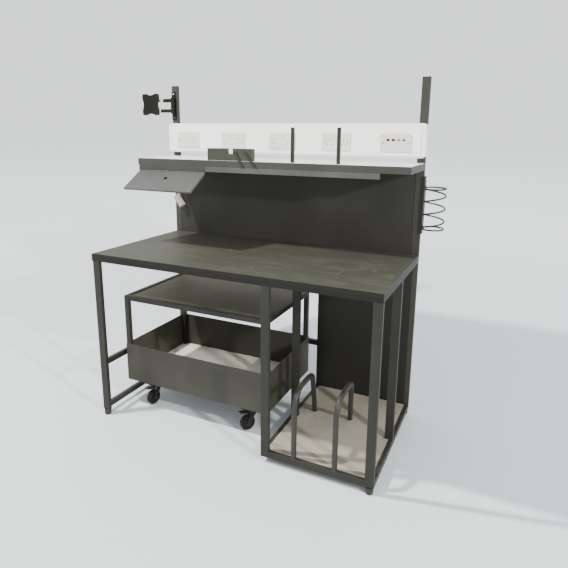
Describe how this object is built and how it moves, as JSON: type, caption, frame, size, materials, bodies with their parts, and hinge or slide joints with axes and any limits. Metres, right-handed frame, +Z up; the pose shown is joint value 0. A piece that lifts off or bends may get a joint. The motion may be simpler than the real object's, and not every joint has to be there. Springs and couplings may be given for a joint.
{
  "type": "packing workbench with trolley",
  "caption": "Steel workbench with overhead shelf, power trunking, tilting flap, screen bracket, divider pedestal and a trolley on castors.",
  "frame": {"origin": "on the floor, below the middle of the object's bounding box", "axes": "+X to the right along the worktop, +Y from the front to the back, +Z up"},
  "size_m": [1.8084, 0.7849, 1.77],
  "materials": {
    "frame_paint": "powder coat, satin, grey olive",
    "hoop_paint": "powder coat, satin",
    "dark_panel": "powder coat, matt",
    "worktop_board": "laminate, fine texture",
    "pale_board": "faced board, smooth",
    "grey_sheet": "powder coat, satin",
    "white_liner": "smooth",
    "diffuser": "frosted",
    "white_plastic": "satin moulding",
    "white_gloss": "gloss moulding",
    "port_colours": "red, blue, yellow and green inserts",
    "zinc_steel": "zinc plate",
    "bright_steel": "bright",
    "black_paint": "powder coat, satin",
    "black_plastic": "moulded",
    "foot_plastic": "moulded",
    "coil_wire": "plastic coated wire",
    "pale_plastic": "moulded",
    "wheel_tread": "moulded"
  },
  "bodies": {
    "bench": {"worktop": "worktop_board", "worktop_frame": "frame_paint", "left_end_frame": "frame_paint", "uprights": "frame_paint", "tube_caps": "black_plastic", "pedestal_front_frame": "frame_paint", "pedestal_left_side": "frame_paint", "pedestal_right_side": "frame_paint", "rear_rails": "frame_paint", "pedestal_base_board": "pale_board", "divider_hoops": "hoop_paint", "pedestal_back_panel": "dark_panel", "levelling_feet": "foot_plastic", "upper_back_panel": "dark_panel", "overhead_shelf": "frame_paint", "shelf_liner": "white_liner", "light_bar": "grey_sheet", "light_diffuser": "diffuser", "flap_hinge": "frame_paint", "trunking_base": "white_plastic", "trunking_covers": "white_plastic", "trunking_end_caps": "white_plastic", "socket_plates": "white_gloss", "data_plate": "white_gloss", "data_ports": "port_colours", "back_boxes": "zinc_steel", "faceplate_screws": "zinc_steel", "screen_wall_plate": "black_paint", "bracket_screws": "bright_steel", "shelf_divider_posts": "frame_paint", "parts_holder": "frame_paint", "coil_bar": "black_paint", "wire_coil": "coil_wire", "tool_peg": "pale_plastic"},
    "flap": {"tilting_flap": "grey_sheet"},
    "arm": {"screen_arm": "black_paint"},
    "screen_head": {"tilt_shaft": "bright_steel", "screen_plate": "black_paint"},
    "trolley": {"trolley_frame": "frame_paint", "trolley_top_board": "pale_board", "trolley_tray": "frame_paint", "tray_floor_board": "pale_board", "front_castor_plates": "zinc_steel", "rear_castor_forks": "zinc_steel"},
    "left_castor": {"left_castor_fork": "zinc_steel"},
    "right_castor": {"right_castor_fork": "zinc_steel"},
    "wheel_front_left": {"front_left_wheel": "wheel_tread"},
    "wheel_front_right": {"front_right_wheel": "wheel_tread"},
    "wheel_rear_left": {"rear_left_wheel": "wheel_tread"},
    "wheel_rear_right": {"rear_right_wheel": "wheel_tread"},
    "left_pedal": {"left_brake_pedal": "black_plastic"},
    "right_pedal": {"right_brake_pedal": "black_plastic"},
    "rocker_1_left": {"switch_1_left": "white_gloss"},
    "rocker_1_right": {"switch_1_right": "white_gloss"},
    "rocker_2_left": {"switch_2_left": "white_gloss"},
    "rocker_2_right": {"switch_2_right": "white_gloss"},
    "rocker_3_left": {"switch_3_left": "white_gloss"},
    "rocker_3_right": {"switch_3_right": "white_gloss"},
    "rocker_4_left": {"switch_4_left": "white_gloss"},
    "rocker_4_right": {"switch_4_right": "white_gloss"}
  },
  "joints": [
    {"name": "rocker_1_left_hinge", "type": "hinge", "parent": "bench", "child": "rocker_1_left", "pos_m": [-0.5762, 0.2795, 1.478], "axis": [1, 0, 0], "range_deg": [-10, 0]},
    {"name": "rocker_1_right_hinge", "type": "hinge", "parent": "bench", "child": "rocker_1_right", "pos_m": [-0.5502, 0.2795, 1.478], "axis": [1, 0, 0], "range_deg": [-10, 0]},
    {"name": "rocker_2_left_hinge", "type": "hinge", "parent": "bench", "child": "rocker_2_left", "pos_m": [-0.2717, 0.2795, 1.478], "axis": [1, 0, 0], "range_deg": [-10, 0]},
    {"name": "rocker_2_right_hinge", "type": "hinge", "parent": "bench", "child": "rocker_2_right", "pos_m": [-0.2457, 0.2795, 1.478], "axis": [1, 0, 0], "range_deg": [-10, 0]},
    {"name": "rocker_3_left_hinge", "type": "hinge", "parent": "bench", "child": "rocker_3_left", "pos_m": [0.0328, 0.2795, 1.478], "axis": [1, 0, 0], "range_deg": [-10, 0]},
    {"name": "rocker_3_right_hinge", "type": "hinge", "parent": "bench", "child": "rocker_3_right", "pos_m": [0.0588, 0.2795, 1.478], "axis": [1, 0, 0], "range_deg": [-10, 0]},
    {"name": "rocker_4_left_hinge", "type": "hinge", "parent": "bench", "child": "rocker_4_left", "pos_m": [0.3373, 0.2795, 1.478], "axis": [1, 0, 0], "range_deg": [-10, 0]},
    {"name": "rocker_4_right_hinge", "type": "hinge", "parent": "bench", "child": "rocker_4_right", "pos_m": [0.3633, 0.2795, 1.478], "axis": [1, 0, 0], "range_deg": [-10, 0]},
    {"name": "flap_hinge", "type": "hinge", "parent": "bench", "child": "flap", "pos_m": [-0.4882, 0.0055, 1.296], "axis": [1, 0, 0], "range_deg": [-32, 58]},
    {"name": "arm_swing", "type": "hinge", "parent": "bench", "child": "arm", "pos_m": [-0.6932, 0.3145, 1.655], "axis": [0, 0, 1], "range_deg": [-15, 165]},
    {"name": "screen_tilt", "type": "hinge", "parent": "arm", "child": "screen_head", "pos_m": [-0.7782, 0.3145, 1.6865], "axis": [1, 0, 0], "range_deg": [-20, 20]},
    {"name": "trolley_roll", "type": "slide", "parent": "bench", "child": "trolley", "axis": [0, -1, 0], "range_m": [0, 0.7]},
    {"name": "left_castor_swivel", "type": "hinge", "parent": "trolley", "child": "left_castor", "pos_m": [-0.5312, -0.1435, 0.11], "axis": [0, 0, 1], "continuous": true},
    {"name": "front_left_wheel_spin", "type": "hinge", "parent": "left_castor", "child": "wheel_front_left", "pos_m": [-0.53579, -0.17618, 0.04], "axis": [0.9903, -0.1392, 0], "continuous": true},
    {"name": "left_pedal_press", "type": "hinge", "parent": "left_castor", "child": "left_pedal", "pos_m": [-0.53315, -0.15736, 0.0986], "axis": [0.9903, -0.1392, 0], "range_deg": [0, 14]},
    {"name": "right_castor_swivel", "type": "hinge", "parent": "trolley", "child": "right_castor", "pos_m": [0.0848, -0.1435, 0.11], "axis": [0, 0, 1], "continuous": true},
    {"name": "front_right_wheel_spin", "type": "hinge", "parent": "right_castor", "child": "wheel_front_right", "pos_m": [0.0683, -0.17208, 0.04], "axis": [0.866, -0.5, 0], "continuous": true},
    {"name": "right_pedal_press", "type": "hinge", "parent": "right_castor", "child": "right_pedal", "pos_m": [0.0778, -0.15562, 0.0986], "axis": [0.866, -0.5, 0], "range_deg": [0, 14]},
    {"name": "rear_left_wheel_spin", "type": "hinge", "parent": "trolley", "child": "wheel_rear_left", "pos_m": [-0.5312, 0.2165, 0.04], "axis": [1, 0, 0], "continuous": true},
    {"name": "rear_right_wheel_spin", "type": "hinge", "parent": "trolley", "child": "wheel_rear_right", "pos_m": [0.0848, 0.2165, 0.04], "axis": [1, 0, 0], "continuous": true}
  ]
}
